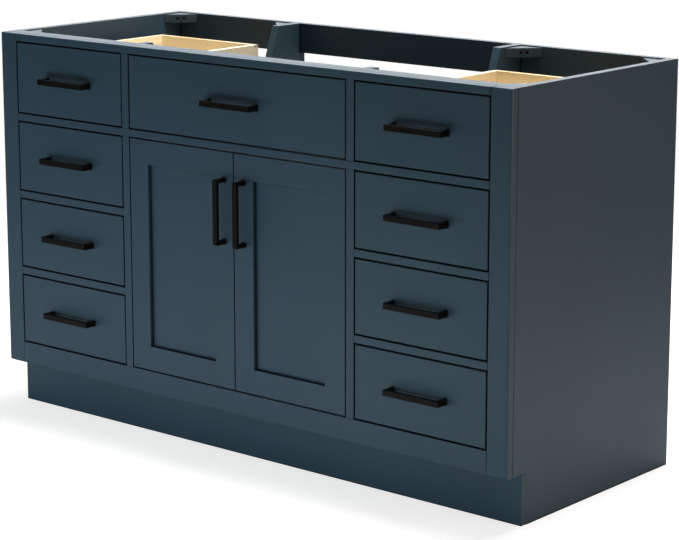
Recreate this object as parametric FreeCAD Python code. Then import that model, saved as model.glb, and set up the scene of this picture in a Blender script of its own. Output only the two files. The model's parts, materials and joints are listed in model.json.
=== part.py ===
import FreeCAD, Part
import math
import os

# A bathroom vanity base: a face frame case with four drawers each side, two inset
# doors and a tilt-out front above them. It is sold without its worktop.
# Millimetres. X runs along the front from the middle, Y from the room towards the
# wall, Z up from the floor. The origin is on the floor, in the middle of the box
# that holds the cabinet and its pulls.

Vector = FreeCAD.Vector

# Case
WIDTH = 1371.6
DEPTH = 558.8
HEIGHT = 838.2
SIDE_THICKNESS = 18.0
PARTITION_THICKNESS = 19.1
DECK_THICKNESS = 16.0
TOE_HEIGHT = 103.0
TOE_SETBACK = 48.7
TOE_BOARD_THICKNESS = 16.0
BACK_RAIL_HEIGHT = 66.0
BACK_RAIL_THICKNESS = 16.0
STRETCHER_DEPTH = 31.0
STRETCHER_THICKNESS = 16.0

# The cut that lets a basin hang between the partitions
NOTCH_DEPTH = 120.0
NOTCH_LEAN = 42.0
FRONT_HORN = 25.0
BACK_HORN = 71.0

# Face frame
FRAME_THICKNESS = 19.0
STILE_WIDTH = 47.6
RAIL_HEIGHT = 16.0
BOTTOM_RAIL_HEIGHT = 48.0
SIDE_BAY_WIDTH = 323.5
TOP_ROW_HEIGHT = 158.0
LOWER_ROWS = 3
REVEAL = 3.0
STILE_EASING = 2.0
FRONT_EASING = 0.8

# Corner blocks and the screws of the case
BLOCK_LEG = 55.0
BLOCK_THICKNESS = 20.0
BLOCK_DROP = 2.0
BLOCK_SCREW_OFFSET = 7.0
CASE_SCREW_RADIUS = 2.0
CASE_SCREW_HEAD_RADIUS = 3.6
CASE_SCREW_HEAD_HEIGHT = 2.4
CASE_SCREW_BITE = 11.0
BLOCK_COUNTERBORE = 8.0
STRETCHER_SCREW_LENGTH = 40.0
STRETCHER_SCREW_DEPTH = 31.0

# Drawers
FRONT_THICKNESS = 19.0
BOX_WALL = 12.5
BOX_LENGTH = 419.0
BOX_TOP_GAP = 25.0
BOX_BOTTOM_GAP = 13.0
BOX_BOTTOM_THICKNESS = 6.0
BOX_BOTTOM_RISE = 12.0
BOX_GROOVE = 6.0
TAILS = 4
PIN_HALF_WIDTH = 3.0
TAIL_SLOPE = 1 / 6

# Drawer runners
RUNNER_SPACE = 12.7
RUNNER_LENGTH = 406.4
RUNNER_SETBACK = 1.0
RUNNER_STEEL = 1.2
RUNNER_HEIGHT = 35.0
RUNNER_FLANGE = 10.0
RUNNER_PLAY = 0.4
RUNNER_INNER_STANDOFF = 3.0
RUNNER_RISE = 22.0
BATTEN_HEIGHT = 40.0

# Doors
DOOR_THICKNESS = 19.0
DOOR_MEMBER = 51.0
DOOR_RECESS = 8.5
DOOR_PANEL = 6.0
DOOR_GROOVE = 10.0
DOOR_PANEL_PLAY = 0.5

# Cup hinges
HINGE_INSET = 80.0
CUP_RADIUS = 17.5
CUP_DEPTH = 11.5
CUP_WALL = 1.0
CUP_EDGE = 5.0
CUP_BORE_PLAY = 0.1
CUP_PLATE = 1.5
CUP_PLATE_WIDTH = 20.0
CUP_PLATE_HEIGHT = 56.0
CUP_SCREW_SPACING = 45.0
ARM_GAP = 0.7
ARM_HEIGHT = 16.0
ARM_REACH = 34.0
ARM_NOSE = 12.0
ARM_DEPTH = 14.0
ARM_LENGTH = 66.0
ARM_PLATE = 3.0
ARM_PLATE_START = 45.0
ARM_PLATE_LENGTH = 36.0
ARM_PLATE_HEIGHT = 52.0
ARM_SCREW_SPACING = 37.0

# Tilt-out front
TILT_AXIS_INSET = 5.0
TILT_PIN_RADIUS = 2.0
TILT_PIN_BITE = 12.0
TILT_TRAVEL = 40.0
STAY_THICKNESS = 2.0
STAY_STANDOFF = 6.0
STAY_RADIUS = 55.0
STAY_HALF_WIDTH = 8.0
STAY_REST_ANGLE = 60.0
STAY_END_ANGLE = 8.0
STAY_FOOT_WIDTH = 16.0
STAY_FOOT_LOW = 24.0
STAY_FOOT_HIGH = 62.0
STAY_SCREW_OFFSET = 10.5
STAY_SCREW_INSET = 9.5
STAY_PIN_RADIUS = 2.5
STAY_PIN_PLAY = 0.3
STAY_PIN_HEAD = 4.5
TRAY_END_GAP = 33.6
TRAY_DEPTH = 58.0
TRAY_HEAD_GAP = 3.5
TRAY_WALL = 2.0
TRAY_RISE = 8.0
TRAY_CORNER = 8.0
TRAY_SCREW_INSET = 50.0
TRAY_SCREW_DROP = 17.0

# Pulls
PULL_CENTRES = 127.0
PULL_LEG = 7.0
PULL_BAR = 7.0
PULL_HEIGHT = 12.0
PULL_REACH = 28.0
PULL_EASING = 0.7
DOOR_PULL_DROP = 54.0
PULL_SCREW_RADIUS = 2.0
PULL_SCREW_BITE = 12.0
PULL_SCREW_HEAD_RADIUS = 4.5
PULL_SCREW_HEAD_HEIGHT = 2.4
PULL_HOLE_RADIUS = 2.5

# Small screws and the clearance of any round piece in its hole
SMALL_SCREW_RADIUS = 1.6
SMALL_SCREW_LENGTH = 10.0
SMALL_SCREW_HEAD_RADIUS = 3.2
SMALL_SCREW_HEAD_HEIGHT = 1.6
HOLE_PLAY = 0.05
BLIND_PLAY = 1.0

# Two places closer than this are the same
SAME = 1e-6

# Worked out from the sizes above
face_y = PULL_REACH - (DEPTH + PULL_REACH) / 2
case_left = -WIDTH / 2
case_right = WIDTH / 2
left_bay = (case_left + STILE_WIDTH, case_left + STILE_WIDTH + SIDE_BAY_WIDTH)
right_bay = (-left_bay[1], -left_bay[0])
centre_bay = (left_bay[1] + PARTITION_THICKNESS, right_bay[0] - PARTITION_THICKNESS)
top_rail_z = HEIGHT - RAIL_HEIGHT
mid_rail_top = top_rail_z - TOP_ROW_HEIGHT
mid_rail_z = mid_rail_top - RAIL_HEIGHT
bottom_rail_top = TOE_HEIGHT + BOTTOM_RAIL_HEIGHT
lower_rows_height = mid_rail_z - bottom_rail_top - (LOWER_ROWS - 1) * RAIL_HEIGHT
lower_row_height = lower_rows_height / LOWER_ROWS
toe_board_back = TOE_SETBACK + TOE_BOARD_THICKNESS
back_rail_front = DEPTH - BACK_RAIL_THICKNESS
stretcher_back = FRAME_THICKNESS + STRETCHER_DEPTH
stretcher_z = HEIGHT - STRETCHER_THICKNESS
deck_top = TOE_HEIGHT + DECK_THICKNESS
hinge_heights = (bottom_rail_top + REVEAL + HINGE_INSET, mid_rail_z - REVEAL - HINGE_INSET)


def row_spans():
    """The low and high edge of each row of openings, from the top row down."""
    spans = [(mid_rail_top, top_rail_z)]
    for row in range(LOWER_ROWS):
        high = mid_rail_z - row * (lower_row_height + RAIL_HEIGHT)
        spans.append((high - lower_row_height, high))
    return spans


def block(x, depth, z):
    """A box between two values of x, two depths behind the face and two heights."""
    low_x, high_x = sorted(x)
    size = (high_x - low_x, depth[1] - depth[0], z[1] - z[0])
    return Part.makeBox(*size, Vector(low_x, face_y + depth[0], z[0]))


def prism(corners, travel):
    """A flat outline of corner points, carried along the travel vector."""
    outline = Part.makePolygon(list(corners) + [corners[0]])
    return Part.Face(outline).extrude(travel)


def rod(start, way, radius, length):
    """A round bar from a point along a direction."""
    return Part.makeCylinder(radius, length, start, way)


def on_front(edge):
    """True for an edge that lies in the plane of the face."""
    box = edge.BoundBox
    return abs(box.YMin - face_y) < SAME and abs(box.YMax - face_y) < SAME


def upright_edges(shape):
    """The edges of a box that run along Z."""
    return [edge for edge in shape.Edges if edge.BoundBox.ZLength > SAME]


def screw(start, way, radius, length, head_radius, head_height):
    """A pan head screw: the head's underside is at the start, the shank goes the way."""
    shank = rod(start, way, radius, length)
    return shank.fuse(rod(start - way * head_height, way, head_radius, head_height))


def small_screw(start, way):
    """A short fixing screw with its head on the surface at the start."""
    size = (SMALL_SCREW_RADIUS, SMALL_SCREW_LENGTH)
    return screw(start, way, *size, SMALL_SCREW_HEAD_RADIUS, SMALL_SCREW_HEAD_HEIGHT)


def small_hole(start, way):
    """The hole that a small screw needs in everything below its head."""
    return rod(start, way, SMALL_SCREW_RADIUS + HOLE_PLAY, SMALL_SCREW_LENGTH + BLIND_PLAY)


def save(name, *shapes):
    """Write every solid of the shapes as one node."""
    solids = [solid for shape in shapes for solid in shape.Solids]
    whole = solids[0] if len(solids) == 1 else Part.makeCompound(solids)
    whole.exportStep("parts/" + name + ".step")


# Case panels

def partition_x(hand):
    """The two faces of a partition, the one towards the centre bay first."""
    inner = centre_bay[0] if hand < 0 else centre_bay[1]
    return inner, inner + hand * PARTITION_THICKNESS


def side_panel(hand):
    """A side panel: full height behind the face frame, cut away for the toe board."""
    outer = case_left if hand < 0 else case_right
    x = (outer, outer - hand * SIDE_THICKNESS)
    panel = block(x, (FRAME_THICKNESS, DEPTH), (0, HEIGHT))
    return panel.cut(block(x, (FRAME_THICKNESS, toe_board_back), (0, TOE_HEIGHT)))


def partition(hand):
    """A partition with its slant-ended cut, let in round the stretcher and back rail."""
    notch_z = HEIGHT - NOTCH_DEPTH
    front_horn = stretcher_back + FRONT_HORN
    back_horn = back_rail_front - BACK_HORN
    outline = (
        (FRAME_THICKNESS, deck_top),
        (DEPTH, deck_top),
        (DEPTH, HEIGHT - BACK_RAIL_HEIGHT),
        (back_rail_front, HEIGHT - BACK_RAIL_HEIGHT),
        (back_rail_front, HEIGHT),
        (back_horn, HEIGHT),
        (back_horn - NOTCH_LEAN, notch_z),
        (front_horn + NOTCH_LEAN, notch_z),
        (front_horn, HEIGHT),
        (stretcher_back, HEIGHT),
        (stretcher_back, stretcher_z),
        (FRAME_THICKNESS, stretcher_z),
    )
    low_x = min(partition_x(hand))
    corners = [Vector(low_x, face_y + depth, z) for depth, z in outline]
    return prism(corners, Vector(PARTITION_THICKNESS, 0, 0))


def inner_span():
    """The space between the side panels."""
    return case_left + SIDE_THICKNESS, case_right - SIDE_THICKNESS


# Corner blocks: each is given by its corner and the ways its two legs run

def corner_places():
    """Corner x, corner depth, way along X and way along Y of each corner block."""
    left, right = inner_span()
    return (
        (left, stretcher_back, 1, 1),
        (right, stretcher_back, -1, 1),
        (left, back_rail_front, 1, -1),
        (right, back_rail_front, -1, -1),
        (left_bay[1], back_rail_front, -1, -1),
        (right_bay[0], back_rail_front, 1, -1),
    )


def corner_block(place):
    """A triangular block with two counterbored holes in its long face."""
    x, depth, way_x, way_y = place
    low_z = HEIGHT - BLOCK_DROP - BLOCK_THICKNESS
    corner = Vector(x, face_y + depth, low_z)
    legs = (Vector(way_x * BLOCK_LEG, 0, 0), Vector(0, way_y * BLOCK_LEG, 0))
    body = prism((corner, corner + legs[0], corner + legs[1]), Vector(0, 0, BLOCK_THICKNESS))
    holes = []
    for start, way in block_screw_lines(place):
        holes.append(rod(start, way, CASE_SCREW_RADIUS + HOLE_PLAY, BLOCK_LEG))
        holes.append(rod(start - way * BLOCK_COUNTERBORE, way,
                         CASE_SCREW_HEAD_RADIUS + 2 * HOLE_PLAY, BLOCK_COUNTERBORE))
    return body.cut(holes)


def block_screw_lines(place):
    """Where each screw's head sits in a block's counterbore, and the way it points."""
    x, depth, way_x, way_y = place
    half_leg = BLOCK_LEG / 2
    middle = Vector(x + way_x * half_leg, face_y + depth + way_y * half_leg,
                    HEIGHT - BLOCK_DROP - BLOCK_THICKNESS / 2)
    inward = Vector(-way_x, -way_y, 0).normalize()
    along = Vector(way_x, -way_y, 0).normalize()
    lines = []
    for side in (-1, 1):
        start = middle + along * (side * BLOCK_SCREW_OFFSET) + inward * BLOCK_COUNTERBORE
        lines.append((start, inward))
    return lines


def block_screw_length():
    """Long enough to pass out of the block and bite into the board behind it."""
    centre_to_corner = BLOCK_LEG / math.sqrt(2)
    return centre_to_corner - BLOCK_SCREW_OFFSET - BLOCK_COUNTERBORE + CASE_SCREW_BITE


def stretcher_screw_start(hand):
    """The top middle of the countersunk screw that ties the stretcher to a partition."""
    return Vector(sum(partition_x(hand)) / 2, face_y + STRETCHER_SCREW_DEPTH, HEIGHT)


def countersink(start, play):
    """The cone of a countersunk head, point down, with play all round."""
    depth = CASE_SCREW_HEAD_RADIUS - CASE_SCREW_RADIUS
    radii = (CASE_SCREW_HEAD_RADIUS + play, CASE_SCREW_RADIUS + play)
    return Part.makeCone(*radii, depth, start, Vector(0, 0, -1))


def case_screws():
    """The corner block screws and the two stretcher screws."""
    screws = []
    for place in corner_places():
        for start, way in block_screw_lines(place):
            screws.append(screw(start, way, CASE_SCREW_RADIUS, block_screw_length(),
                                CASE_SCREW_HEAD_RADIUS, CASE_SCREW_HEAD_HEIGHT))
    for hand in (-1, 1):
        start = stretcher_screw_start(hand)
        shank = rod(start, Vector(0, 0, -1), CASE_SCREW_RADIUS, STRETCHER_SCREW_LENGTH)
        screws.append(shank.fuse(countersink(start, 0)))
    return screws


def case_screw_holes():
    """Everything the case screws take out of the boards round the blocks."""
    radius = CASE_SCREW_RADIUS + HOLE_PLAY
    holes = []
    for place in corner_places():
        for start, way in block_screw_lines(place):
            holes.append(rod(start, way, radius, block_screw_length() + BLIND_PLAY))
    for hand in (-1, 1):
        start = stretcher_screw_start(hand)
        length = STRETCHER_SCREW_LENGTH + BLIND_PLAY
        holes.append(rod(start, Vector(0, 0, -1), radius, length))
        holes.append(countersink(start, HOLE_PLAY))
    return holes


# Pulls

def pull(middle, upright):
    """A square D pull with its feet on the face at a point, and its bores."""
    length = PULL_CENTRES + PULL_LEG
    half_height = PULL_HEIGHT / 2
    size = (length, PULL_REACH, PULL_HEIGHT)
    body = Part.makeBox(*size, Vector(-length / 2, -PULL_REACH, -half_height))
    body = body.makeChamfer(PULL_EASING, [e for e in body.Edges if e.BoundBox.YMax < -PULL_EASING])
    gap = (PULL_CENTRES - PULL_LEG, PULL_REACH - PULL_BAR, PULL_HEIGHT)
    body = body.cut(Part.makeBox(*gap, Vector(-gap[0] / 2, -gap[1], -half_height)))
    bores = [rod(foot, Vector(0, -1, 0), PULL_SCREW_RADIUS + HOLE_PLAY,
                 PULL_SCREW_BITE + BLIND_PLAY) for foot in pull_feet(Vector(0, 0, 0), False)]
    body = body.cut(bores)
    if upright:
        body.rotate(Vector(0, 0, 0), Vector(0, 1, 0), 90)
    body.translate(middle)
    return body


def pull_feet(middle, upright):
    """The middle of each of a pull's two feet."""
    way = Vector(0, 0, 1) if upright else Vector(1, 0, 0)
    return [middle + way * (side * PULL_CENTRES / 2) for side in (-1, 1)]


def pull_screws(middle, upright, grip):
    """Two screws from the back of boards of the given total thickness into the pull."""
    screws = []
    for foot in pull_feet(middle, upright):
        head = foot + Vector(0, grip, 0)
        screws.append(screw(head, Vector(0, -1, 0), PULL_SCREW_RADIUS, grip + PULL_SCREW_BITE,
                            PULL_SCREW_HEAD_RADIUS, PULL_SCREW_HEAD_HEIGHT))
    return screws


def pull_holes(middle, upright, grip):
    """The clearance holes for a pull's screws through boards of the given thickness."""
    feet = pull_feet(middle, upright)
    return [rod(foot, Vector(0, 1, 0), PULL_HOLE_RADIUS, grip) for foot in feet]


# Drawers

def inset_front(x, z):
    """A flat front that fills an opening but for its reveal, with eased front edges."""
    width = (x[0] + REVEAL, x[1] - REVEAL)
    height = (z[0] + REVEAL, z[1] - REVEAL)
    slab = block(width, (0, FRONT_THICKNESS), height)
    return slab.makeChamfer(FRONT_EASING, [edge for edge in slab.Edges if on_front(edge)])


def front_middle(x, z):
    """The middle of an opening, on the face."""
    return Vector(sum(x) / 2, face_y, sum(z) / 2)


def box_span(z):
    """The bottom and top edge of the drawer box behind an opening."""
    return z[0] + BOX_BOTTOM_GAP, z[1] - BOX_TOP_GAP


def dovetail_pins(x, end, base, z):
    """The spaces between a drawer side's tails at one end, as prisms along X."""
    pitch = (z[1] - z[0]) / TAILS
    outer = PIN_HALF_WIDTH
    inner = outer + abs(base - end) * TAIL_SLOPE
    pins = []
    for number in range(TAILS + 1):
        middle = z[0] + number * pitch
        outline = ((end, middle - outer), (base, middle - inner),
                   (base, middle + inner), (end, middle + outer))
        corners = [Vector(x[0], face_y + depth, height) for depth, height in outline]
        pins.append(prism(corners, Vector(x[1] - x[0], 0, 0)))
    return pins


def drawer_box(x, z):
    """Two sides with tails, a front and a back with pins, and a bottom in its groove."""
    low, high = box_span(z)
    left = x[0] + RUNNER_SPACE
    right = x[1] - RUNNER_SPACE
    near = FRONT_THICKNESS
    far = near + BOX_LENGTH
    inset = BOX_WALL - BOX_GROOVE
    rise = low + BOX_BOTTOM_RISE
    bottom = block((left + inset, right - inset), (near + inset, far - inset),
                   (rise, rise + BOX_BOTTOM_THICKNESS))
    sides = []
    for wall in ((left, left + BOX_WALL), (right - BOX_WALL, right)):
        pins = dovetail_pins(wall, near, near + BOX_WALL, (low, high))
        pins += dovetail_pins(wall, far, far - BOX_WALL, (low, high))
        sides.append(block(wall, (near, far), (low, high)).cut(pins))
    ends = []
    for depth in ((near, near + BOX_WALL), (far - BOX_WALL, far)):
        ends.append(block((left, right), depth, (low, high)).cut(sides))
    grip = FRONT_THICKNESS + BOX_WALL
    ends[0] = ends[0].cut(pull_holes(front_middle(x, z), False, grip))
    return [board.cut(bottom) for board in sides + ends] + [bottom]


# Runners

def channel(web_x, mouth_x, z_middle, height):
    """A steel channel along Y, open towards mouth_x, behind the face frame."""
    start = FRAME_THICKNESS + RUNNER_SETBACK
    depth = (start, start + RUNNER_LENGTH)
    way = 1 if mouth_x > web_x else -1
    half = height / 2
    inner_half = half - RUNNER_STEEL
    outside = block((web_x, mouth_x), depth, (z_middle - half, z_middle + half))
    hollow = block((web_x + way * RUNNER_STEEL, mouth_x), depth,
                   (z_middle - inner_half, z_middle + inner_half))
    return outside.cut(hollow)


def runner_middle(z):
    """The height of a runner's middle for an opening."""
    return box_span(z)[0] + RUNNER_RISE


def runner_pair(edge, way, z):
    """The case member at an opening's edge, and the drawer member nested in it."""
    middle = runner_middle(z)
    case_member = channel(edge, edge + way * RUNNER_FLANGE, middle, RUNNER_HEIGHT)
    inner_height = RUNNER_HEIGHT - 2 * (RUNNER_STEEL + RUNNER_PLAY)
    drawer_member = channel(edge + way * RUNNER_SPACE, edge + way * RUNNER_INNER_STANDOFF,
                            middle, inner_height)
    return case_member, drawer_member


def batten(hand, z):
    """The wood that packs a runner out from a side panel to the edge of the stile."""
    wall = inner_span()[0] if hand < 0 else inner_span()[1]
    edge = left_bay[0] if hand < 0 else right_bay[1]
    middle = runner_middle(z)
    depth = (FRAME_THICKNESS, FRAME_THICKNESS + RUNNER_SETBACK + RUNNER_LENGTH)
    return block((wall, edge), depth, (middle - BATTEN_HEIGHT / 2, middle + BATTEN_HEIGHT / 2))


# Doors

def door_span(hand):
    """The hinge edge and the free edge of a door."""
    hinge = centre_bay[0] + REVEAL if hand < 0 else centre_bay[1] - REVEAL
    return hinge, hand * REVEAL / 2


def door_height():
    """The bottom and top edge of both doors."""
    return bottom_rail_top + REVEAL, mid_rail_z - REVEAL


def door_leaf(hand):
    """Two grooved stiles, two grooved and tenoned rails, and a flat panel between them."""
    low_x, high_x = sorted(door_span(hand))
    low, high = door_height()
    inner_x = (low_x + DOOR_MEMBER, high_x - DOOR_MEMBER)
    inner_z = (low + DOOR_MEMBER, high - DOOR_MEMBER)
    groove = (DOOR_RECESS, DOOR_RECESS + DOOR_PANEL)
    whole = (0, DOOR_THICKNESS)
    channel_x = (inner_x[0] - DOOR_GROOVE, inner_x[1] + DOOR_GROOVE)
    channel_z = (inner_z[0] - DOOR_GROOVE, inner_z[1] + DOOR_GROOVE)
    stile_groove = block(channel_x, groove, (low, high))
    panel_groove = block(channel_x, groove, channel_z)
    members = []
    for x in ((low_x, inner_x[0]), (inner_x[1], high_x)):
        members.append(block(x, whole, (low, high)).cut(stile_groove))
    for z in ((low, inner_z[0]), (inner_z[1], high)):
        rail = block(inner_x, whole, z).fuse(block(channel_x, groove, z))
        members.append(rail.cut(panel_groove))
    play = DOOR_GROOVE - DOOR_PANEL_PLAY
    panel = block((inner_x[0] - play, inner_x[1] + play), groove,
                  (inner_z[0] - play, inner_z[1] + play))
    return members, panel


def door_pull_middle(hand):
    """The middle of a door's pull, on the middle of the free stile."""
    free = door_span(hand)[1]
    drop = DOOR_PULL_DROP + (PULL_CENTRES + PULL_LEG) / 2
    return Vector(free + hand * DOOR_MEMBER / 2, face_y, door_height()[1] - drop)


# Hinges

def cup_middle_x(hand):
    """The middle of a hinge cup."""
    return door_span(hand)[0] - hand * (CUP_EDGE + CUP_RADIUS)


def cup_screw_starts(hand, z):
    """Where a cup plate's two screw heads sit."""
    depth = face_y + DOOR_THICKNESS + CUP_PLATE
    offsets = (-CUP_SCREW_SPACING / 2, CUP_SCREW_SPACING / 2)
    return [Vector(cup_middle_x(hand), depth, z + offset) for offset in offsets]


def hinge_cup(hand, z):
    """A drawn steel cup with its plate, and the two screws in it."""
    x = cup_middle_x(hand)
    back = DOOR_THICKNESS
    plate_x = (x - CUP_PLATE_WIDTH / 2, x + CUP_PLATE_WIDTH / 2)
    plate_z = (z - CUP_PLATE_HEIGHT / 2, z + CUP_PLATE_HEIGHT / 2)
    plate = block(plate_x, (back, back + CUP_PLATE), plate_z)
    floor = Vector(x, face_y + back - CUP_DEPTH, z)
    way = Vector(0, 1, 0)
    shell = rod(floor, way, CUP_RADIUS, CUP_DEPTH + CUP_PLATE)
    hollow = rod(floor + way * CUP_WALL, way, CUP_RADIUS - CUP_WALL, CUP_DEPTH + CUP_PLATE)
    holes = [small_hole(start, -way) for start in cup_screw_starts(hand, z)]
    cup = plate.fuse(shell).cut([hollow] + holes)
    return [cup] + [small_screw(start, -way) for start in cup_screw_starts(hand, z)]


def hinge_bores(hand, z):
    """What a hinge cup and its screws take out of the door."""
    way = Vector(0, 1, 0)
    floor = Vector(cup_middle_x(hand), face_y + DOOR_THICKNESS - CUP_DEPTH, z)
    bores = [rod(floor, way, CUP_RADIUS + CUP_BORE_PLAY, CUP_DEPTH)]
    return bores + [small_hole(start, -way) for start in cup_screw_starts(hand, z)]


def arm_screw_starts(hand, z):
    """Where a mounting plate's two screw heads sit."""
    x = partition_x(hand)[0] - hand * ARM_PLATE
    depth = face_y + ARM_PLATE_START + ARM_PLATE_LENGTH / 2
    offsets = (-ARM_SCREW_SPACING / 2, ARM_SCREW_SPACING / 2)
    return [Vector(x, depth, z + offset) for offset in offsets]


def hinge_arm(hand, z):
    """A mounting plate on the partition, the arm on it, and the plate's screws."""
    wall = partition_x(hand)[0]
    start = DOOR_THICKNESS + CUP_PLATE + ARM_GAP
    half = ARM_HEIGHT / 2
    plate = block((wall, wall - hand * ARM_PLATE),
                  (ARM_PLATE_START, ARM_PLATE_START + ARM_PLATE_LENGTH),
                  (z - ARM_PLATE_HEIGHT / 2, z + ARM_PLATE_HEIGHT / 2))
    way = Vector(hand, 0, 0)
    plate = plate.cut([small_hole(head, way) for head in arm_screw_starts(hand, z)])
    inner = wall - hand * ARM_PLATE
    arm = block((inner, inner - hand * (ARM_DEPTH - ARM_PLATE)), (start, start + ARM_LENGTH),
                (z - half, z + half))
    nose = block((inner, wall - hand * ARM_REACH), (start, start + ARM_NOSE), (z - half, z + half))
    screws = [small_screw(head, way) for head in arm_screw_starts(hand, z)]
    return [plate, arm.fuse(nose).removeSplitter()] + screws


def arm_holes(hand, z):
    """What a mounting plate's screws take out of the partition."""
    way = Vector(hand, 0, 0)
    return [small_hole(head, way) for head in arm_screw_starts(hand, z)]


# Tilt-out front

tilt_axis = Vector(0, face_y + TILT_AXIS_INSET, mid_rail_top + REVEAL + TILT_AXIS_INSET)


def polar(x, radius, degrees):
    """A point at a radius from the tilt axis, its angle measured up from the wall side."""
    angle = math.radians(degrees)
    across = Vector(0, math.cos(angle), math.sin(angle))
    return Vector(x, tilt_axis.y, tilt_axis.z) + across * radius


def ring_sector(x, thickness, radii, angles):
    """A flat piece of a ring about the tilt axis."""
    low, high = angles
    middle = (low + high) / 2
    inner, outer = [[polar(x, radius, angle) for angle in (low, middle, high)] for radius in radii]
    curves = (
        Part.Arc(*outer),
        Part.LineSegment(outer[2], inner[2]),
        Part.Arc(*reversed(inner)),
        Part.LineSegment(inner[0], outer[0]),
    )
    outline = Part.Wire([curve.toShape() for curve in curves])
    return Part.Face(outline).extrude(Vector(thickness, 0, 0))


def tilt_bearing(hand, radius, bite):
    """A round along the tilt axis, from the mullion into the end of the tilt-out front."""
    edge = partition_x(hand)[0]
    start = Vector(edge + hand * bite, tilt_axis.y, tilt_axis.z)
    return rod(start, Vector(-hand, 0, 0), radius, 2 * bite + REVEAL)


def stay_x(hand):
    """The plane of a stay's two faces, the one nearer the partition first."""
    near = partition_x(hand)[0] - hand * STAY_STANDOFF
    return near, near - hand * STAY_THICKNESS


def stay_screw_starts(hand):
    """Where the two screw heads sit on a stay's foot."""
    x = stay_x(hand)[0] - hand * STAY_SCREW_OFFSET
    depth = face_y + FRONT_THICKNESS + STAY_THICKNESS
    heights = (STAY_FOOT_LOW + STAY_SCREW_INSET, STAY_FOOT_HIGH - STAY_SCREW_INSET)
    return [Vector(x, depth, tilt_axis.z + height) for height in heights]


def stay(hand):
    """A quadrant plate with an arc slot, its foot on the front's back, and its screws."""
    near, far = stay_x(hand)
    low_x = min(near, far)
    radii = (STAY_RADIUS - STAY_HALF_WIDTH, STAY_RADIUS + STAY_HALF_WIDTH)
    angles = (STAY_REST_ANGLE - TILT_TRAVEL - STAY_END_ANGLE, STAY_REST_ANGLE + STAY_END_ANGLE)
    plate = ring_sector(low_x, STAY_THICKNESS, radii, angles)
    back = FRONT_THICKNESS
    foot_z = (tilt_axis.z + STAY_FOOT_LOW, tilt_axis.z + STAY_FOOT_HIGH)
    neck_depth = TILT_AXIS_INSET + STAY_RADIUS * math.cos(math.radians(STAY_REST_ANGLE))
    neck = block((near, far), (back, neck_depth), foot_z)
    foot = block((near, near - hand * STAY_FOOT_WIDTH), (back, back + STAY_THICKNESS), foot_z)
    half_slot = STAY_PIN_RADIUS + STAY_PIN_PLAY
    slot_angles = (STAY_REST_ANGLE - TILT_TRAVEL, STAY_REST_ANGLE)
    slot = ring_sector(low_x, STAY_THICKNESS, (STAY_RADIUS - half_slot, STAY_RADIUS + half_slot),
                       slot_angles)
    ends = [rod(polar(low_x, STAY_RADIUS, angle), Vector(1, 0, 0), half_slot, STAY_THICKNESS)
            for angle in slot_angles]
    way = Vector(0, -1, 0)
    holes = [small_hole(head, way) for head in stay_screw_starts(hand)]
    whole = plate.fuse([neck, foot]).cut([slot] + ends + holes).removeSplitter()
    return [whole] + [small_screw(head, way) for head in stay_screw_starts(hand)]


def stay_pin(hand):
    """The headed pin on the partition that runs in a stay's slot."""
    wall = partition_x(hand)[0]
    start = polar(wall + hand * TILT_PIN_BITE, STAY_RADIUS, STAY_REST_ANGLE)
    way = Vector(-hand, 0, 0)
    reach = TILT_PIN_BITE + STAY_STANDOFF + STAY_THICKNESS + STAY_PIN_PLAY
    shank = rod(start, way, STAY_PIN_RADIUS, reach)
    collar_start = polar(wall, STAY_RADIUS, STAY_REST_ANGLE)
    collar = rod(collar_start, way, STAY_PIN_HEAD, STAY_STANDOFF - STAY_PIN_PLAY)
    return shank.fuse([collar, rod(start + way * reach, way, STAY_PIN_HEAD, STAY_THICKNESS)])


def stay_pin_hole(hand):
    """The hole for a stay's pin in the partition."""
    wall = partition_x(hand)[0]
    length = TILT_PIN_BITE + BLIND_PLAY
    start = polar(wall + hand * length, STAY_RADIUS, STAY_REST_ANGLE)
    return rod(start, Vector(-hand, 0, 0), STAY_PIN_RADIUS + HOLE_PLAY, length)


def tray_half_length():
    """Half the tray's length, which leaves a gap at each end to a stay's foot."""
    return stay_x(1)[0] - STAY_FOOT_WIDTH - TRAY_END_GAP


def tray_span():
    """The bottom and top edge of the tray, which stops short of the pull's screw heads."""
    pull_height = sum(row_spans()[0]) / 2
    return tilt_axis.z + TRAY_RISE, pull_height - PULL_SCREW_HEAD_RADIUS - TRAY_HEAD_GAP


def tray_screw_starts():
    """Where the two screw heads sit inside the tray."""
    x = tray_half_length() - TRAY_SCREW_INSET
    depth = face_y + FRONT_THICKNESS + TRAY_WALL
    z = tray_span()[1] - TRAY_SCREW_DROP
    return [Vector(side * x, depth, z) for side in (-1, 1)]


def tray():
    """A thin open box on the front's back, below the pull's screws, and its own screws."""
    low, high = tray_span()
    half = tray_half_length()
    outside = block((-half, half), (FRONT_THICKNESS, FRONT_THICKNESS + TRAY_DEPTH), (low, high))
    inside = block((TRAY_WALL - half, half - TRAY_WALL),
                   (FRONT_THICKNESS + TRAY_WALL, FRONT_THICKNESS + TRAY_DEPTH - TRAY_WALL),
                   (low + TRAY_WALL, high))
    outside = outside.makeFillet(TRAY_CORNER, upright_edges(outside))
    inside = inside.makeFillet(TRAY_CORNER - TRAY_WALL, upright_edges(inside))
    way = Vector(0, -1, 0)
    shell = outside.cut([inside] + [small_hole(head, way) for head in tray_screw_starts()])
    return [shell] + [small_screw(head, way) for head in tray_screw_starts()]


# Build every node

os.makedirs("parts", exist_ok=True)
rows = row_spans()
screw_holes = case_screw_holes()
hands = {"left": -1, "right": 1}
bays = {"left": left_bay, "right": right_bay}

for name, hand in hands.items():
    save("side_panel_" + name, side_panel(hand).cut(screw_holes))
    wood_out = screw_holes + [stay_pin_hole(hand)]
    for z in hinge_heights:
        wood_out += arm_holes(hand, z)
    save("partition_" + name, partition(hand).cut(wood_out))

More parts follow.
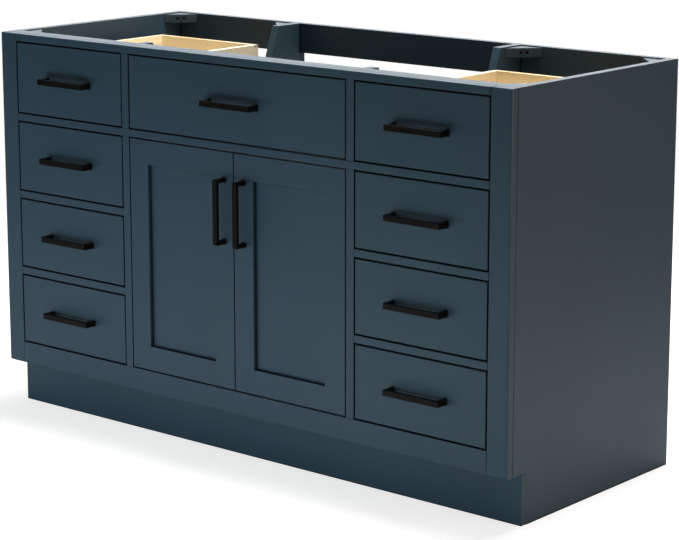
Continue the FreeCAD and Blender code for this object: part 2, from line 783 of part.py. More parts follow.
inside_x = inner_span()
save("deck_panel", block(inside_x, (FRAME_THICKNESS, DEPTH), (TOE_HEIGHT, deck_top)))
back_rail = block(inside_x, (back_rail_front, DEPTH), (HEIGHT - BACK_RAIL_HEIGHT, HEIGHT))
save("back_rail", back_rail.cut(screw_holes))
toe_board = block((case_left, case_right), (TOE_SETBACK, toe_board_back), (0, TOE_HEIGHT))
save("toe_board", toe_board)
stretcher = block(inside_x, (FRAME_THICKNESS, stretcher_back), (stretcher_z, HEIGHT))
save("front_stretcher", stretcher.cut(screw_holes))
save("corner_blocks", *[corner_block(place) for place in corner_places()])
save("case_screws", *case_screws())

frame_depth = (0, FRAME_THICKNESS)
stiles = []
for hand in hands.values():
    outer = case_left if hand < 0 else case_right
    stile = block((outer, outer - hand * STILE_WIDTH), frame_depth, (TOE_HEIGHT, HEIGHT))
    outer_front = [edge for edge in stile.Edges if on_front(edge)
                   and abs(edge.BoundBox.Center.x - outer) < SAME]
    stiles.append(stile.makeChamfer(STILE_EASING, outer_front))
save("stiles", *stiles)

frame_x = (left_bay[0], right_bay[1])
rail_spans = ((top_rail_z, HEIGHT), (mid_rail_z, mid_rail_top), (TOE_HEIGHT, bottom_rail_top))
save("frame_rails", *[block(frame_x, frame_depth, z) for z in rail_spans])
short_rails = []
for bay in bays.values():
    for row in rows[1:-1]:
        short_rails.append(block(bay, frame_depth, (row[0] - RAIL_HEIGHT, row[0])))
save("drawer_rails", *short_rails)
mullions = []
for hand in hands.values():
    bearing_hole = tilt_bearing(hand, TILT_PIN_RADIUS + HOLE_PLAY, TILT_PIN_BITE + BLIND_PLAY)
    for z in ((mid_rail_top, top_rail_z), (bottom_rail_top, mid_rail_z)):
        mullions.append(block(partition_x(hand), frame_depth, z).cut(bearing_hole))
save("mullions", *mullions)

case_members = []
battens = []
for name, bay in bays.items():
    for number, row in enumerate(rows, start=1):
        label = name + "_" + str(number)
        middle = front_middle(bay, row)
        grip = FRONT_THICKNESS + BOX_WALL
        front = inset_front(bay, row).cut(pull_holes(middle, False, FRONT_THICKNESS))
        save("drawer_front_" + label, front)
        save("drawer_box_" + label, *drawer_box(bay, row))
        save("drawer_pull_" + label, pull(middle, False), *pull_screws(middle, False, grip))
        left_pair = runner_pair(bay[0], 1, row)
        right_pair = runner_pair(bay[1], -1, row)
        save("drawer_runners_" + label, left_pair[1], right_pair[1])
        case_members += [left_pair[0], right_pair[0]]
        battens.append(batten(hands[name], row))
save("runner_channels", *case_members)
save("runner_battens", *battens)

arms = []
for name, hand in hands.items():
    middle = door_pull_middle(hand)
    members, panel = door_leaf(hand)
    wood_out = pull_holes(middle, True, DOOR_THICKNESS)
    cups = []
    for z in hinge_heights:
        wood_out += hinge_bores(hand, z)
        cups += hinge_cup(hand, z)
        arms += hinge_arm(hand, z)
    save("door_leaf_" + name, *[board.cut(wood_out) for board in members + [panel]])
    save("door_pull_" + name, pull(middle, True), *pull_screws(middle, True, DOOR_THICKNESS))
    save("door_hinge_cups_" + name, *cups)
save("hinge_arms", *arms)

middle = front_middle(centre_bay, rows[0])
wood_out = pull_holes(middle, False, FRONT_THICKNESS)
pins = []
stays = []
for hand in hands.values():
    bearing_hole = tilt_bearing(hand, TILT_PIN_RADIUS + HOLE_PLAY, TILT_PIN_BITE + BLIND_PLAY)
    wood_out += [bearing_hole]
    wood_out += [small_hole(head, Vector(0, -1, 0)) for head in stay_screw_starts(hand)]
    pins += [tilt_bearing(hand, TILT_PIN_RADIUS, TILT_PIN_BITE), stay_pin(hand)]
    stays += stay(hand)
wood_out += [small_hole(head, Vector(0, -1, 0)) for head in tray_screw_starts()]
save("tilt_front", inset_front(centre_bay, rows[0]).cut(wood_out))
save("tilt_pull", pull(middle, False), *pull_screws(middle, False, FRONT_THICKNESS))
save("tilt_stays", *stays)
save("tilt_tray", *tray())
save("tilt_pivots", *pins)
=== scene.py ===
import json
import math

import bpy
import numpy as np
from bpy.props import FloatProperty, FloatVectorProperty, IntProperty, PointerProperty
from mathutils import Euler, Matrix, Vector

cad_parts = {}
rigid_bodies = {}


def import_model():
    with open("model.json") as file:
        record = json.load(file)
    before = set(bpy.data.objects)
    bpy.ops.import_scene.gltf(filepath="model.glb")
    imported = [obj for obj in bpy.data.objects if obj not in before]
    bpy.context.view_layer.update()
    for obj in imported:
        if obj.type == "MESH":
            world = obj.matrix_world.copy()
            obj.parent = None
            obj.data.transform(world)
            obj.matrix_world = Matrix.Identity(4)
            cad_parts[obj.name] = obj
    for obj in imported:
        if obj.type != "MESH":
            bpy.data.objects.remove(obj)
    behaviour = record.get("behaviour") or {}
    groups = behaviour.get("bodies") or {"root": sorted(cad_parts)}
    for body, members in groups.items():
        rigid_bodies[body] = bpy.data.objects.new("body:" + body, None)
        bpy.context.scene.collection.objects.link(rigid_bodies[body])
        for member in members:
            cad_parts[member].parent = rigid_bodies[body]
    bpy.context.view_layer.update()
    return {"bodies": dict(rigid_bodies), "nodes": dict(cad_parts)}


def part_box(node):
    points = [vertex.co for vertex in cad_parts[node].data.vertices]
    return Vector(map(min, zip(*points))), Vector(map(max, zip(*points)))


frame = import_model()
nodes = frame["nodes"]

bl_info = {
    "name": "Bathroom vanity base",
    "version": (1, 0, 0),
    "blender": (4, 5, 0),
    "location": "View3D > Sidebar > Vanity",
    "description": "Finishes, softened edges, light and camera for an eight-drawer vanity base",
    "category": "Object",
}

BODIES = list(frame["bodies"])
DRAWERS = [body for body in BODIES if body.startswith("drawer_")]
DOORS = [body for body in BODIES if body.startswith("door_")]
LABELS = [body[len("drawer_"):] for body in DRAWERS]
HANDS = [body[len("door_"):] for body in DOORS]

INNER_BOARDS = [
    "partition_left", "partition_right", "deck_panel", "back_rail", "front_stretcher",
    "corner_blocks", "frame_rails", "drawer_rails", "mullions",
]
# Boards that meet flush at the case's outer corners, where the joint shows as a groove
CORNER_BOARDS = ["side_panel_left", "side_panel_right", "stiles", "toe_board"]

PAINT = "slate_satin_paint"
SENSOR = 36.0             # width of the camera's sensor, in millimetres
MOST = (0.3, 0.7)         # most of a noise's values lie between these
CREASE_SHADE_REACH = 0.005            # painted shade darkens the paint in joints and corners narrower than this
SHARP = math.radians(40)  # an edge that bends more than this is softened
MERGE = 0.00001           # corners closer than this are one corner

# Which finish each face of a drawer box has, by its place in the box's slots
SIDE_BOARD, END_BOARD, CUT_END, BOTTOM_BOARD = range(4)
BOX_WALL = 0.0127         # a little more than the box boards' thickness
SKIN = 0.001              # a face this close to the box's side is on its outer side
SQUARE_ON = 0.9           # share of a normal along an axis that makes a face look that way
TAILS = 4                 # dovetail tails up each corner of a box, with a pin between two
PIN_REACH = 0.0045        # between half a pin's height at its narrow end and at its wide end
NEAR_MIDDLE = 0.2         # the box's front and back are farther than this from its middle


# Values a user would change

class VanityFinishes(bpy.types.PropertyGroup):
    """Colours and gloss of the vanity's finishes."""

    paint: FloatVectorProperty(
        name="Paint", description="Dark slate blue paint of the case and the fronts",
        subtype="COLOR", size=3, min=0, max=1, default=(0.029, 0.055, 0.075))
    paint_gloss: FloatProperty(
        name="Paint roughness", description="Roughness of the satin paint",
        subtype="FACTOR", min=0, max=1, default=0.46)
    box_wood: FloatVectorProperty(
        name="Drawer wood", description="Lacquered pale wood of the drawer boxes",
        subtype="COLOR", size=3, min=0, max=1, default=(0.90, 0.77, 0.54))
    box_grain: FloatVectorProperty(
        name="Drawer grain", description="Darker grain lines of the drawer wood",
        subtype="COLOR", size=3, min=0, max=1, default=(0.74, 0.54, 0.29))
    batten_wood: FloatVectorProperty(
        name="Batten wood", description="Bare wood of the runner battens",
        subtype="COLOR", size=3, min=0, max=1, default=(0.50, 0.33, 0.16))
    pull_metal: FloatVectorProperty(
        name="Pulls", description="Black powder coat of the pulls",
        subtype="COLOR", size=3, min=0, max=1, default=(0.0042, 0.0036, 0.0034))
    tray: FloatVectorProperty(
        name="Tray", description="Moulded plastic of the tilt-out tray",
        subtype="COLOR", size=3, min=0, max=1, default=(0.78, 0.78, 0.75))


class VanitySizes(bpy.types.PropertyGroup):
    """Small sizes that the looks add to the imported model."""

    board_easing: FloatProperty(
        name="Board easing", description="Width of the softened edges of the painted boards",
        subtype="DISTANCE", unit="LENGTH", min=0, max=0.004, default=0.0013)
    corner_easing: FloatProperty(
        name="Corner easing", description="Width of the softened edges where corner boards meet",
        subtype="DISTANCE", unit="LENGTH", min=0, max=0.004, default=0.0020)
    front_easing: FloatProperty(
        name="Front easing", description="Width of the softened edges of the fronts and doors",
        subtype="DISTANCE", unit="LENGTH", min=0, max=0.004, default=0.0010)
    pull_easing: FloatProperty(
        name="Pull easing", description="Width of the softened edges of the pulls",
        subtype="DISTANCE", unit="LENGTH", min=0, max=0.002, default=0.0004)
    easing_steps: IntProperty(
        name="Easing steps", description="Faces across each softened edge",
        min=1, max=4, default=2)


class VanityStage(bpy.types.PropertyGroup):
    """Camera and light."""

    camera_place: FloatVectorProperty(
        name="Camera place", description="Where the camera stands",
        subtype="TRANSLATION", unit="LENGTH", size=3, default=(3.0684, -3.5730, 1.4169))
    camera_turn: FloatProperty(
        name="Camera turn", description="How far the view turns from straight on towards the left",
        subtype="ANGLE", unit="ROTATION", default=math.radians(40.142))
    camera_tilt: FloatProperty(
        name="Camera tilt", description="How far the camera looks down",
        subtype="ANGLE", unit="ROTATION", default=math.radians(11.452))
    camera_lens: FloatProperty(
        name="Lens", description="Focal length of the camera",
        subtype="DISTANCE_CAMERA", min=10, max=400, default=120.88)
    camera_rise: FloatProperty(
        name="Vertical shift",
        description="Vertical shift of the lens, as a share of the frame's width",
        min=-0.2, max=0.2, default=-0.07)
    front_light: FloatProperty(
        name="Front light", description="Power of the low soft strip in front",
        unit="POWER", min=0, default=13)
    side_light: FloatProperty(
        name="Side light", description="Power of the soft light at the right",
        unit="POWER", min=0, default=42)
    top_light: FloatProperty(
        name="Top light", description="Power of the soft light overhead",
        unit="POWER", min=0, default=330)
    sheen_light: FloatProperty(
        name="Sheen light", description="Power of the light whose sheen shows on the top edges",
        unit="POWER", min=0, default=60)
    rear_light: FloatProperty(
        name="Rear light", description="Power of the soft light low behind the cabinet",
        unit="POWER", min=0, default=26)
    room_light: FloatProperty(
        name="Room light", description="Strength of the even light from all round",
        min=0, max=4, default=0.16)


# Materials

class Finish:
    """A material under construction: its shader, and short ways to add nodes to it."""

    def __init__(self, name):
        self.material = bpy.data.materials.new(name)
        self.material.use_nodes = True
        self.tree = self.material.node_tree
        self.shader = next(n for n in self.tree.nodes if n.type == "BSDF_PRINCIPLED")
        self.place = self.tree.nodes.new("ShaderNodeTexCoord").outputs["Object"]

    def add(self, kind, inputs, **settings):
        """A node with its settings made and its inputs fed by a value or by a socket."""
        node = self.tree.nodes.new(kind)
        for key, value in settings.items():
            setattr(node, key, value)
        for key, value in inputs.items():
            self.feed(node.inputs[key], value)
        return node

    def feed(self, socket, value):
        """Link another node's output to a socket, or set the socket's own value."""
        if isinstance(value, bpy.types.NodeSocket):
            self.tree.links.new(value, socket)
        else:
            socket.default_value = value

    def set(self, **values):
        """Set the shader's sockets; an underscore in a name stands for a space."""
        for key, value in values.items():
            self.feed(self.shader.inputs[key.replace("_", " ")], value)

    def stretched(self, x, y, z):
        """The place on the piece, scaled along each axis."""
        return self.add("ShaderNodeMapping", {"Vector": self.place, "Scale": (x, y, z)}).outputs[0]

    def noise(self, scale, place=None, detail=3.0, rough=0.5, warp=0.0):
        """Soft noise from 0 to 1."""
        inputs = {"Vector": place or self.place, "Scale": scale, "Detail": detail,
                  "Roughness": rough, "Distortion": warp}
        return self.add("ShaderNodeTexNoise", inputs).outputs["Fac"]

    def between(self, value, low, high, start=0.0, end=1.0):
        """A value carried from one span to another and kept inside it."""
        inputs = {"Value": value, "From Min": low, "From Max": high,
                  "To Min": start, "To Max": end}
        return self.add("ShaderNodeMapRange", inputs).outputs[0]

    def mixed(self, share, first, second):
        """Two colours mixed by a share."""
        node = self.add("ShaderNodeMix", {}, data_type="RGBA")
        self.feed(node.inputs["Factor"], share)
        for socket, colour in zip([s for s in node.inputs if s.type == "RGBA"], (first, second)):
            self.feed(socket, (*colour, 1.0) if isinstance(colour, tuple) else colour)
        return next(s for s in node.outputs if s.type == "RGBA")

    def crease_shade(self, reach, low, high):
        """Painted shade, by ambient occlusion: 1 on open surface, falling to 0 in joints and
        corners narrower than the reach.
        """
        node = self.add("ShaderNodeAmbientOcclusion", {"Distance": reach}, samples=8)
        return self.between(node.outputs["AO"], low, high)

    def bump(self, height, distance, strength=1.0, under=None):
        """A bump of a real height in metres, on top of another one if given."""
        inputs = {"Height": height, "Distance": distance, "Strength": strength}
        if under is not None:
            inputs["Normal"] = under
        return self.add("ShaderNodeBump", inputs).outputs[0]


def shaded(colour, factor):
    """A colour made lighter or darker by a factor."""
    return tuple(min(1.0, channel * factor) for channel in colour)


def satin_paint(finishes):
    """Sprayed satin paint: faint clouds, a fine orange peel, and painted shade that darkens and
    dulls joints, corners and recesses.
    """
    made = Finish(PAINT)
    paint = tuple(finishes.paint)
    clouds = made.noise(3.5, detail=2.0)
    speck = made.noise(260.0, detail=2.0)
    colour = made.mixed(made.between(clouds, *MOST), shaded(paint, 0.95), shaded(paint, 1.05))
    colour = made.mixed(made.between(speck, 0.35, 0.75, 0.0, 0.5), colour, shaded(paint, 1.18))
    # painted shade: where ambient occlusion finds a joint, corner or recess, the paint's colour
    # falls towards 0.12 of itself
    unshaded_share = made.crease_shade(CREASE_SHADE_REACH, 0.56, 0.97)
    colour = made.mixed(unshaded_share, shaded(paint, 0.12), colour)
    gloss = made.between(made.noise(9.0, detail=4.0), *MOST,
                         finishes.paint_gloss - 0.02, finishes.paint_gloss + 0.02)
    peel = made.bump(made.noise(420.0, detail=1.5), 0.00006)
    drift = made.bump(made.noise(28.0, detail=2.0), 0.00005, under=peel)
    # the same painted-shade share also makes the paint rougher in joints and corners
    gloss = made.between(unshaded_share, 0.0, 1.0, 0.95, gloss)
    made.set(Base_Color=colour, Roughness=gloss, Normal=drift, Specular_IOR_Level=0.32)
    return made.material


def lacquered_wood(name, finishes, along):
    """Pale lacquered wood with its grain along one axis: rings, pores and a slow drift."""
    made = Finish(name)
    wood, grain = tuple(finishes.box_wood), tuple(finishes.box_grain)
    long_way, across = 1.3, 22.0
    scales = [across, across, across]
    scales[along] = long_way
    place = made.stretched(*scales)
    rings = made.noise(1.0, place, detail=4.0, rough=0.55, warp=0.6)
    scales = [420.0, 420.0, 420.0]
    scales[along] = 14.0
    pores = made.noise(1.0, made.stretched(*scales), detail=2.0)
    drift = made.noise(2.2, detail=1.0)
    colour = made.mixed(made.between(rings, 0.42, 0.66), shaded(wood, 1.05), shaded(wood, 0.86))
    colour = made.mixed(made.between(rings, 0.60, 0.72, 0.0, 0.65), colour, grain)
    colour = made.mixed(made.between(pores, 0.58, 0.75, 0.0, 0.40), colour, shaded(grain, 0.8))
    colour = made.mixed(made.between(drift, *MOST, 0.0, 0.22), colour, shaded(wood, 1.22))
    made.set(Base_Color=colour, Roughness=made.between(rings, *MOST, 0.34, 0.46),
             Normal=made.bump(pores, 0.00008), Coat_Weight=0.25, Coat_Roughness=0.25)
    return made.material


def bottom_ply(finishes):
    """The drawer bottoms' thin plywood: a wide, calm rotary-cut figure along the drawer."""
    made = Finish("drawer_bottom_ply")
    wood, grain = tuple(finishes.box_wood), tuple(finishes.box_grain)
    figure = made.noise(1.0, made.stretched(9.0, 1.6, 9.0), detail=3.0, warp=1.2)
    pores = made.noise(1.0, made.stretched(500.0, 30.0, 500.0))
    colour = made.mixed(made.between(figure, 0.35, 0.65), shaded(wood, 0.72), shaded(grain, 0.80))
    colour = made.mixed(made.between(pores, 0.55, 0.75, 0.0, 0.35), colour, shaded(grain, 0.6))
    made.set(Base_Color=colour, Roughness=0.55, Normal=made.bump(pores, 0.00006))
    return made.material


def end_grain(finishes):
    """The cut ends of the drawer wood: darker, with fine close pores."""
    made = Finish("drawer_end_grain")
    wood, grain = tuple(finishes.box_wood), tuple(finishes.box_grain)
    pores = made.noise(900.0, detail=2.0)
    bands = made.noise(60.0, detail=3.0, warp=0.4)
    colour = made.mixed(made.between(bands, 0.35, 0.65), shaded(wood, 0.34), shaded(grain, 0.30))
    colour = made.mixed(made.between(pores, 0.5, 0.7, 0.0, 0.6), colour, shaded(grain, 0.12))
    made.set(Base_Color=colour, Roughness=0.62, Normal=made.bump(pores, 0.0001))
    return made.material


def bare_batten(finishes):
    """Bare sawn wood with its grain along the runner."""
    made = Finish("batten_bare_wood")
    wood = tuple(finishes.batten_wood)
    lines = made.noise(1.0, made.stretched(60.0, 2.0, 60.0), detail=5.0, warp=0.4)
    fuzz = made.noise(1.0, made.stretched(500.0, 30.0, 500.0))
    colour = made.mixed(made.between(lines, 0.35, 0.68), shaded(wood, 1.2), shaded(wood, 0.62))
    made.set(Base_Color=colour, Roughness=0.78, Normal=made.bump(fuzz, 0.0002))
    return made.material


def black_metal(finishes):
    """Fine-textured black powder coat, a little browner and smoother where hands rub it."""
    made = Finish("pull_black_coat")
    metal = tuple(finishes.pull_metal)
    grit = made.noise(1500.0, detail=2.0)
    rub = made.noise(40.0, detail=3.0)
    colour = made.mixed(made.between(rub, 0.35, 0.7), metal, shaded(metal, 1.5))
    made.set(Base_Color=colour, Roughness=made.between(rub, *MOST, 0.42, 0.54),
             Normal=made.bump(grit, 0.00005), Specular_IOR_Level=0.12)
    return made.material


def plated_steel(name, colour, rough, brushed):
    """Plated steel: faint blotches in the plating, and fine lines where it was rolled."""
    made = Finish(name)
    blotch = made.noise(45.0, detail=4.0)
    lines = made.noise(1.0, made.stretched(900.0, 25.0, 900.0), detail=2.0)
    tint = made.mixed(made.between(blotch, 0.35, 0.7), shaded(colour, 1.05), shaded(colour, 0.88))
    made.set(Base_Color=tint, Metallic=1.0, Normal=made.bump(lines, 0.00004, brushed),
             Roughness=made.between(blotch, *MOST, rough, rough + 0.16))
    return made.material


def moulded_plastic(finishes):
    """Off-white moulded plastic with a fine spark-eroded texture."""
    made = Finish("tray_moulded_plastic")
    colour = tuple(finishes.tray)
    flow = made.noise(6.0, detail=2.0)
    grit = made.noise(1100.0, detail=2.0)
    tint = made.mixed(made.between(flow, *MOST), colour, shaded(colour, 0.93))
    made.set(Base_Color=tint, Roughness=made.between(grit, *MOST, 0.28, 0.38),
             Normal=made.bump(grit, 0.00004))
    return made.material


def give(names, *materials):
    """Put materials in the slots of CAD nodes, in place of what they came with."""
    for name in names:
        slots = nodes[name].data.materials
        slots.clear()
        for material in materials:
            slots.append(material)


def ease(names, width, steps):
    """Weld the nodes' triangles and round their sharp edges by a small width."""
    for name in names:
        weld = nodes[name].modifiers.new("weld", "WELD")
        weld.merge_threshold = MERGE
        bevel = nodes[name].modifiers.new("ease", "BEVEL")
        bevel.width = width
        bevel.segments = steps
        bevel.limit_method = "ANGLE"
        bevel.angle_limit = SHARP
        bevel.use_clamp_overlap = True
        bevel.harden_normals = False


def sort_box_faces(mesh, low, high):
    """Say which board each triangle of a drawer box is on, by its place and its direction.

    Triangles inside the front or back wall, or that look forwards or back, are on an end board,
    and the rest on a side. Triangles that look up or down between the side walls are on the
    bottom. Cut ends show at the corners: the pins' ends on the outer side of each corner, and
    the tails' ends on the front and back, between the pins.
    """
    corners = np.empty(len(mesh.vertices) * 3)
    mesh.vertices.foreach_get("co", corners)
    loops = np.empty(len(mesh.polygons) * 3, np.int32)
    mesh.polygons.foreach_get("vertices", loops)
    triangles = corners.reshape(-1, 3)[loops.reshape(-1, 3)]
    normals = np.cross(triangles[:, 1] - triangles[:, 0], triangles[:, 2] - triangles[:, 0])
    normals /= np.linalg.norm(normals, axis=1, keepdims=True) + 1e-20
    looks_across, looks_along, looks_up = (np.abs(normals) > SQUARE_ON).T
    x, y = triangles[:, :, 0], triangles[:, :, 1]
    middle_x, middle_y, middle_z = triangles.mean(axis=1).T
    in_end_wall = (y < low.y + BOX_WALL).all(axis=1) | (y > high.y - BOX_WALL).all(axis=1)
    in_side_wall = (x < low.x + BOX_WALL).all(axis=1) | (x > high.x - BOX_WALL).all(axis=1)
    outer = looks_across & ((middle_x < low.x + SKIN) | (middle_x > high.x - SKIN))
    inner = (middle_x > low.x + BOX_WALL) & (middle_x < high.x - BOX_WALL)
    pitch = (high.z - low.z) / TAILS
    from_pin = np.abs((middle_z - low.z + pitch / 2) % pitch - pitch / 2)
    at_end = np.abs(middle_y - (low.y + high.y) / 2) > NEAR_MIDDLE
    kind = np.full(len(triangles), SIDE_BOARD, np.int32)
    kind[(in_end_wall & ~looks_across) | (looks_along & ~outer)] = END_BOARD
    kind[looks_up & inner] = BOTTOM_BOARD
    kind[in_end_wall & outer & (from_pin < PIN_REACH)] = CUT_END
    kind[looks_along & in_side_wall & (from_pin > PIN_REACH) & at_end] = CUT_END
    mesh.polygons.foreach_set("material_index", kind)


# Stage

# Name, place, the point it faces, width, height and colour of each soft light
LIGHTS = (
    ("front_light", (-0.4, -1.40, 0.20), (-0.2, 0, 0.20), 3.0, 0.35, (0.80, 0.93, 1.0)),
    ("side_light", (3.4, 0.6, 0.65), (0, 0, 0.45), 1.8, 1.6, (1.0, 0.80, 0.66)),
    ("top_light", (0.1, 0.5, 4.4), (0, 0.2, 0.8), 1.6, 1.0, (1.0, 1.0, 1.0)),
    ("sheen_light", (-2.6, 3.6, 1.9), (0, 0, 0.84), 4.0, 1.6, (1.0, 1.0, 1.0)),
    ("rear_light", (-0.6, 3.4, 0.8), (0, 0, 0.4), 2.4, 1.0, (1.0, 1.0, 1.0)),
)
FLOOR_REACH = 14.0
FLOOR_CELLS = 4


def soft_light(name, place, aim, width, height, colour, power):
    """A soft rectangular light that faces a point."""
    lamp = bpy.data.lights.new(name, "AREA")
    lamp.shape = "RECTANGLE"
    lamp.size, lamp.size_y = width, height
    lamp.energy = power
    lamp.color = colour
    light = bpy.data.objects.new(name, lamp)
    light.location = place
    light.visible_camera = False
    light.rotation_euler = (Vector(aim) - Vector(place)).to_track_quat("-Z", "Y").to_euler()
    bpy.context.scene.collection.objects.link(light)


def floor_mesh(reach, cells):
    """A flat square on a grid: x and y run evenly from minus the reach to the reach."""
    steps = np.linspace(-reach, reach, cells + 1)
    x, y = np.meshgrid(steps, steps)
    points = np.stack([x, y, np.zeros_like(x)], axis=-1).reshape(-1, 3)
    start = (np.arange(cells)[:, None] * (cells + 1) + np.arange(cells)).ravel()
    faces = np.stack([start, start + 1, start + cells + 2, start + cells + 1], axis=1)
    mesh = bpy.data.meshes.new("studio_floor")
    mesh.from_pydata(points.tolist(), [], faces.tolist())
    return mesh


def floor_finish():
    """White floor that goes over into the white room with distance."""
    made = Finish("studio_floor_white")
    length = made.add("ShaderNodeVectorMath", {0: made.place}, operation="LENGTH")
    away = length.outputs["Value"]
    tone = made.mixed(made.between(made.noise(1.2), *MOST), (0.50, 0.50, 0.50),
                      (0.53, 0.53, 0.53))
    tone = made.mixed(made.between(away, 1.0, 3.0), tone, (0.0, 0.0, 0.0))
    seen = made.add("ShaderNodeLightPath", {}).outputs["Is Camera Ray"]
    glow = made.add("ShaderNodeMath", {0: seen, 1: made.between(away, 0.8, 2.6, 0.72, 1.0)},
                    operation="MULTIPLY").outputs[0]
    made.set(Base_Color=tone, Roughness=0.9, Specular_IOR_Level=0.1,
             Emission_Color=(1, 1, 1, 1), Emission_Strength=glow)
    return made.material


def white_room(strength):
    """A white backdrop to the camera, and a softer even light to everything else."""
    world = bpy.data.worlds.new("white_room")
    world.use_nodes = True
    tree = world.node_tree
    background = next(n for n in tree.nodes if n.type == "BACKGROUND")
    background.inputs["Color"].default_value = (1.0, 0.98, 0.95, 1)
    background.inputs["Strength"].default_value = strength
    seen = tree.nodes.new("ShaderNodeBackground")
    seen.inputs["Color"].default_value = (1, 1, 1, 1)
    seen.inputs["Strength"].default_value = 1.0
    path = tree.nodes.new("ShaderNodeLightPath")
    mix = tree.nodes.new("ShaderNodeMixShader")
    tree.links.new(path.outputs["Is Camera Ray"], mix.inputs[0])
    tree.links.new(background.outputs[0], mix.inputs[1])
    tree.links.new(seen.outputs[0], mix.inputs[2])
    output = next(n for n in tree.nodes if n.type == "OUTPUT_WORLD")
    tree.links.new(mix.outputs[0], output.inputs["Surface"])
    bpy.context.scene.world = world


# Operators

def finishes():
    """The colours and gloss that the user has set."""
    return bpy.context.scene.vanity_finishes


def sizes():
    """The small sizes that the user has set."""
    return bpy.context.scene.vanity_sizes


class VANITY_OT_case(bpy.types.Operator):
    """Paint the boards of the case and soften their edges"""

    bl_idname = "vanity.case"
    bl_label = "Case boards"

    def execute(self, context):
        give(INNER_BOARDS + CORNER_BOARDS, satin_paint(finishes()))
        ease(INNER_BOARDS, sizes().board_easing, sizes().easing_steps)
        ease(CORNER_BOARDS, sizes().corner_easing, sizes().easing_steps)
        give(["runner_battens"], bare_batten(finishes()))
        return {"FINISHED"}


class VANITY_OT_fronts(bpy.types.Operator):
    """Paint the drawer fronts, the doors and the tilt-out front"""

    bl_idname = "vanity.fronts"
    bl_label = "Fronts and doors"

    def execute(self, context):
        paint = bpy.data.materials[PAINT]
        fronts = ["drawer_front_" + label for label in LABELS] + ["tilt_front"]
        leaves = ["door_leaf_" + hand for hand in HANDS]
        give(fronts + leaves, paint)
        ease(fronts + leaves, sizes().front_easing, sizes().easing_steps)
        return {"FINISHED"}


class VANITY_OT_boxes(bpy.types.Operator):
    """Give each board of the drawer boxes wood with the grain along the board"""

    bl_idname = "vanity.boxes"
    bl_label = "Drawer boxes"

    def execute(self, context):
        side = lacquered_wood("drawer_side_wood", finishes(), 1)
        end = lacquered_wood("drawer_end_wood", finishes(), 0)
        cut = end_grain(finishes())
        ply = bottom_ply(finishes())
        for label in LABELS:
            name = "drawer_box_" + label
            give([name], side, end, cut, ply)
            sort_box_faces(nodes[name].data, *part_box(name))
        return {"FINISHED"}


class VANITY_OT_pulls(bpy.types.Operator):
    """Give the pulls their black coat and softened edges"""

    bl_idname = "vanity.pulls"
    bl_label = "Pulls"

    def execute(self, context):
        pulls = ["drawer_pull_" + label for label in LABELS]
        pulls += ["door_pull_" + hand for hand in HANDS] + ["tilt_pull"]
        give(pulls, black_metal(finishes()))
        ease(pulls, sizes().pull_easing, sizes().easing_steps)
        return {"FINISHED"}


class VANITY_OT_hardware(bpy.types.Operator):
    """Plate the runners, hinges, stays and case screws, and mould the tray"""

    bl_idname = "vanity.hardware"
    bl_label = "Hardware and tray"

    def execute(self, context):
        zinc = plated_steel("runner_zinc_plate", (0.50, 0.52, 0.54), 0.30, 1.0)
        nickel = plated_steel("hinge_nickel_plate", (0.62, 0.60, 0.56), 0.20, 0.3)
        screws = plated_steel("screw_dark_plate", (0.035, 0.035, 0.038), 0.45, 0.2)
        give(["runner_channels"] + ["drawer_runners_" + label for label in LABELS], zinc)
        give(["hinge_arms", "tilt_pivots", "tilt_stays"], nickel)
        give(["door_hinge_cups_" + hand for hand in HANDS], nickel)
        give(["case_screws"], screws)
        give(["tilt_tray"], moulded_plastic(finishes()))
        return {"FINISHED"}


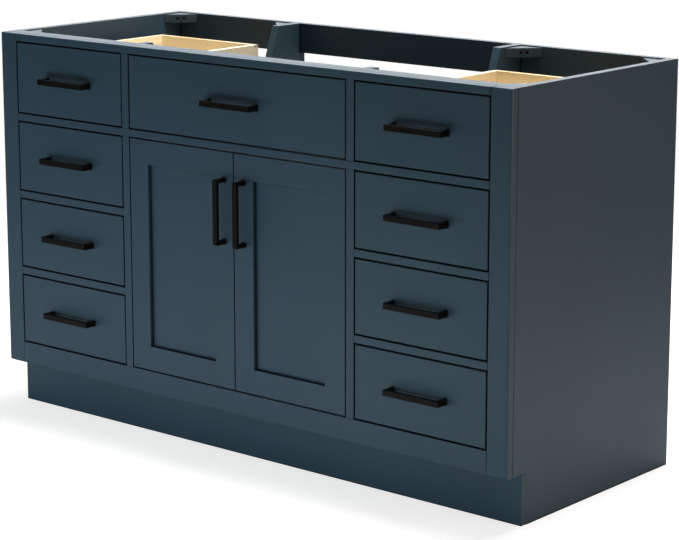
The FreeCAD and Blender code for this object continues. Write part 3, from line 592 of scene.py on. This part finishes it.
class VANITY_OT_stage(bpy.types.Operator):
    """Lay the floor, hang the lights and set the camera"""

    bl_idname = "vanity.stage"
    bl_label = "Floor, light and camera"

    def execute(self, context):
        scene = context.scene
        stage = scene.vanity_stage
        floor = bpy.data.objects.new("studio_floor", floor_mesh(FLOOR_REACH, FLOOR_CELLS))
        floor.data.materials.append(floor_finish())
        scene.collection.objects.link(floor)
        white_room(stage.room_light)
        for light in LIGHTS:
            soft_light(*light, getattr(stage, light[0]))
        bpy.data.objects["front_light"].visible_glossy = False
        bpy.data.objects["sheen_light"].visible_diffuse = False
        camera = bpy.data.cameras.new("camera")
        camera.lens = stage.camera_lens
        camera.sensor_width = SENSOR
        camera.shift_y = stage.camera_rise
        camera.clip_end = 60
        eye = bpy.data.objects.new("camera", camera)
        eye.location = stage.camera_place
        eye.rotation_euler = Euler((math.pi / 2 - stage.camera_tilt, 0, stage.camera_turn))
        scene.collection.objects.link(eye)
        scene.camera = eye
        scene.view_settings.view_transform = "Standard"
        return {"FINISHED"}


class VANITY_PT_panel(bpy.types.Panel):
    """Buttons for each group of pieces, and the values they use"""

    bl_idname = "VANITY_PT_panel"
    bl_label = "Vanity"
    bl_space_type = "VIEW_3D"
    bl_region_type = "UI"
    bl_category = "Vanity"

    def draw(self, context):
        for step in STEPS:
            self.layout.operator(step.bl_idname)
        for group in (context.scene.vanity_finishes, context.scene.vanity_sizes,
                      context.scene.vanity_stage):
            box = self.layout.box()
            for key in group.__annotations__:
                box.prop(group, key)


STEPS = (VANITY_OT_case, VANITY_OT_fronts, VANITY_OT_boxes, VANITY_OT_pulls,
         VANITY_OT_hardware, VANITY_OT_stage)
GROUPS = {"vanity_finishes": VanityFinishes, "vanity_sizes": VanitySizes,
          "vanity_stage": VanityStage}


def register():
    """Register the groups, operators and panel, and hang the values on the scene."""
    for kind in (*GROUPS.values(), *STEPS, VANITY_PT_panel):
        bpy.utils.register_class(kind)
    for key, kind in GROUPS.items():
        setattr(bpy.types.Scene, key, PointerProperty(type=kind))


def unregister():
    """Take off what register put on."""
    for key in GROUPS:
        delattr(bpy.types.Scene, key)
    for kind in (VANITY_PT_panel, *reversed(STEPS), *reversed(GROUPS.values())):
        bpy.utils.unregister_class(kind)


def main():
    """Run every step in order."""
    register()
    bpy.ops.vanity.case()
    bpy.ops.vanity.fronts()
    bpy.ops.vanity.boxes()
    bpy.ops.vanity.pulls()
    bpy.ops.vanity.hardware()
    bpy.ops.vanity.stage()


if __name__ == "__main__":
    main()
